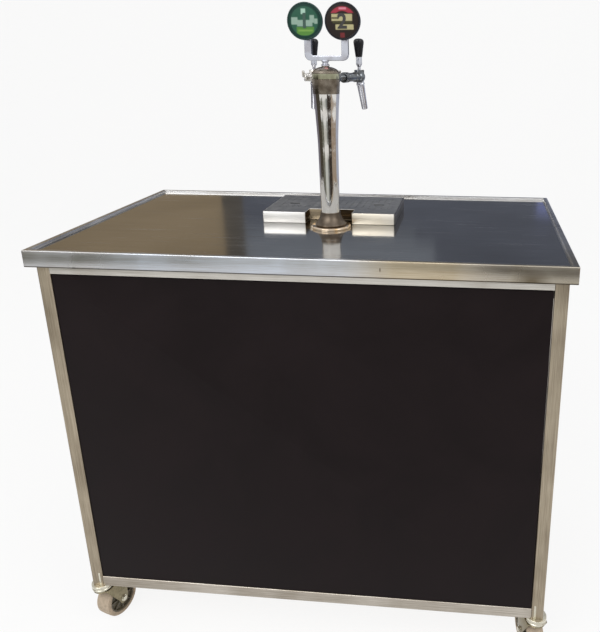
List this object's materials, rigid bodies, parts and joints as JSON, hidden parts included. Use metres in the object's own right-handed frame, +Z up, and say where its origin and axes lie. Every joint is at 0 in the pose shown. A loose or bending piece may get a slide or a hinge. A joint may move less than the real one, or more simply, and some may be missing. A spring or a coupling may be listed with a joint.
{
  "type": "jockey box beer cooler",
  "caption": "Mobile beer counter on casters with a black-panelled steel frame, bright worktop, chrome tap column, badges, drip tray and a cooler inside.",
  "frame": {"origin": "on the floor under the middle of the worktop", "axes": "+Z up; +X to the customers' right; -Y towards the customers, +Y towards the person who pours"},
  "size_m": [1.2, 0.7, 1.5705],
  "materials": {
    "frame_steel": "brushed stainless square tube, slightly worn",
    "worktop_steel": "bright cold-rolled stainless sheet with fine lengthwise grain",
    "tray_steel": "brushed stainless sheet",
    "panel_laminate": "black satin laminate",
    "plywood": "film-faced plywood",
    "chrome": "polished chrome plate",
    "brass": "turned brass",
    "badge_shell": "gloss black plastic",
    "badge_print": "printed face under clear resin",
    "grip_plastic": "black phenolic",
    "zinc_plate": "zinc-plated pressed steel",
    "wheel_rubber": "grey rubber tread on a plastic rim",
    "cooler_paint": "powder-coated sheet steel",
    "condenser_aluminium": "mill aluminium",
    "compressor_paint": "black enamel",
    "black_plastic": "moulded black plastic",
    "line_plastic": "milky polyethylene tube"
  },
  "bodies": {
    "root": {"worktop": "worktop_steel", "table_board": "plywood", "post_front_left": "frame_steel", "post_front_right": "frame_steel", "post_rear_left": "frame_steel", "post_rear_right": "frame_steel", "bottom_rail_front": "frame_steel", "bottom_rail_rear": "frame_steel", "bottom_rail_left": "frame_steel", "bottom_rail_right": "frame_steel", "top_rail_front": "frame_steel", "top_rail_rear": "frame_steel", "top_rail_left": "frame_steel", "top_rail_right": "frame_steel", "panel_front": "panel_laminate", "side_panels": "panel_laminate", "panel_ledges": "frame_steel", "base_shelf": "plywood", "tower_flange": "chrome", "tower_nut": "brass", "tower_column": "chrome", "tower_cap": "chrome", "badge_bracket": "chrome", "badge_left": "badge_shell", "badge_right": "badge_shell", "badge_faces": "badge_print", "tap_shanks": "chrome", "tap_body_left": "chrome", "tap_body_right": "chrome", "caster_heads": "zinc_plate", "cooler_pan": "cooler_paint", "cooler_hood": "cooler_paint", "cooler_rear": "cooler_paint", "condenser": "condenser_aluminium", "fan_motor": "compressor_paint", "compressor": "compressor_paint", "cooling_block": "condenser_aluminium", "power_inlet": "black_plastic", "beer_lines": "line_plastic"},
    "tap_handle_left": {"tap_lever_left": "chrome", "tap_grip_left": "grip_plastic"},
    "flow_control_left": {"flow_knob_left": "chrome"},
    "tap_handle_right": {"tap_lever_right": "chrome", "tap_grip_right": "grip_plastic"},
    "flow_control_right": {"flow_knob_right": "chrome"},
    "tray": {"drip_tray": "tray_steel"},
    "grille": {"drip_grille": "tray_steel"},
    "fork_front_left": {"caster_fork_front_left": "zinc_plate"},
    "wheel_front_left": {"caster_wheel_front_left": "wheel_rubber"},
    "fork_front_right": {"caster_fork_front_right": "zinc_plate"},
    "wheel_front_right": {"caster_wheel_front_right": "wheel_rubber"},
    "fork_rear_left": {"caster_fork_rear_left": "zinc_plate"},
    "wheel_rear_left": {"caster_wheel_rear_left": "wheel_rubber"},
    "brake_rear_left": {"caster_brake_rear_left": "zinc_plate"},
    "fork_rear_right": {"caster_fork_rear_right": "zinc_plate"},
    "wheel_rear_right": {"caster_wheel_rear_right": "wheel_rubber"},
    "brake_rear_right": {"caster_brake_rear_right": "zinc_plate"},
    "fan": {"cooler_fan": "black_plastic"},
    "dial": {"thermostat_dial": "black_plastic"},
    "rocker": {"power_rocker": "black_plastic"}
  },
  "joints": [
    {"name": "pour_left", "type": "hinge", "parent": "root", "child": "tap_handle_left", "pos_m": [-0.03326, 0.08172, 1.414], "axis": [-0.9135, -0.4067, 0], "range_deg": [-12, 40]},
    {"name": "flow_left", "type": "hinge", "parent": "root", "child": "flow_control_left", "pos_m": [-0.03452, 0.03957, 1.404], "axis": [-0.9135, -0.4067, 0], "range_deg": [-90, 90]},
    {"name": "pour_right", "type": "hinge", "parent": "root", "child": "tap_handle_right", "pos_m": [0.08226, 0.08172, 1.414], "axis": [-0.9135, 0.4067, 0], "range_deg": [-12, 40]},
    {"name": "flow_right", "type": "hinge", "parent": "root", "child": "flow_control_right", "pos_m": [0.05008, 0.05445, 1.404], "axis": [-0.9135, 0.4067, 0], "range_deg": [-90, 90]},
    {"name": "tray_lift", "type": "slide", "parent": "root", "child": "tray", "axis": [0, 0, 1], "range_m": [0, 0.06]},
    {"name": "grille_lift", "type": "slide", "parent": "tray", "child": "grille", "axis": [0, 0, 1], "range_m": [0, 0.04]},
    {"name": "swivel_front_left", "type": "hinge", "parent": "root", "child": "fork_front_left", "pos_m": [-0.57, -0.3155, 0.1096], "axis": [0, 0, 1], "continuous": true},
    {"name": "roll_front_left", "type": "hinge", "parent": "fork_front_left", "child": "wheel_front_left", "pos_m": [-0.55826, -0.27936, 0.05], "axis": [-0.9511, 0.309, 0], "continuous": true},
    {"name": "swivel_front_right", "type": "hinge", "parent": "root", "child": "fork_front_right", "pos_m": [0.57, -0.3155, 0.1096], "axis": [0, 0, 1], "continuous": true},
    {"name": "roll_front_right", "type": "hinge", "parent": "fork_front_right", "child": "wheel_front_right", "pos_m": [0.55826, -0.27936, 0.05], "axis": [-0.9511, -0.309, 0], "continuous": true},
    {"name": "swivel_rear_left", "type": "hinge", "parent": "root", "child": "fork_rear_left", "pos_m": [-0.57, 0.3155, 0.1096], "axis": [0, 0, 1], "continuous": true},
    {"name": "roll_rear_left", "type": "hinge", "parent": "fork_rear_left", "child": "wheel_rear_left", "pos_m": [-0.55826, 0.27936, 0.05], "axis": [0.9511, 0.309, 0], "continuous": true},
    {"name": "brake_press_rear_left", "type": "hinge", "parent": "fork_rear_left", "child": "brake_rear_left", "pos_m": [-0.54373, 0.23466, 0.094], "axis": [0.9511, 0.309, 0], "range_deg": [-12, 0]},
    {"name": "swivel_rear_right", "type": "hinge", "parent": "root", "child": "fork_rear_right", "pos_m": [0.57, 0.3155, 0.1096], "axis": [0, 0, 1], "continuous": true},
    {"name": "roll_rear_right", "type": "hinge", "parent": "fork_rear_right", "child": "wheel_rear_right", "pos_m": [0.55826, 0.27936, 0.05], "axis": [0.9511, -0.309, 0], "continuous": true},
    {"name": "brake_press_rear_right", "type": "hinge", "parent": "fork_rear_right", "child": "brake_rear_right", "pos_m": [0.54373, 0.23466, 0.094], "axis": [0.9511, -0.309, 0], "range_deg": [-12, 0]},
    {"name": "fan_spin", "type": "hinge", "parent": "root", "child": "fan", "pos_m": [0.265, -0.147, 0.2715], "axis": [0, 1, 0], "continuous": true},
    {"name": "dial_turn", "type": "hinge", "parent": "root", "child": "dial", "pos_m": [0.17, 0.22, 0.53], "axis": [0, 1, 0], "range_deg": [0, 270]},
    {"name": "rocker_press", "type": "hinge", "parent": "root", "child": "rocker", "pos_m": [0.35, 0.212, 0.53], "axis": [-1, 0, 0], "range_deg": [0, 16]}
  ]
}
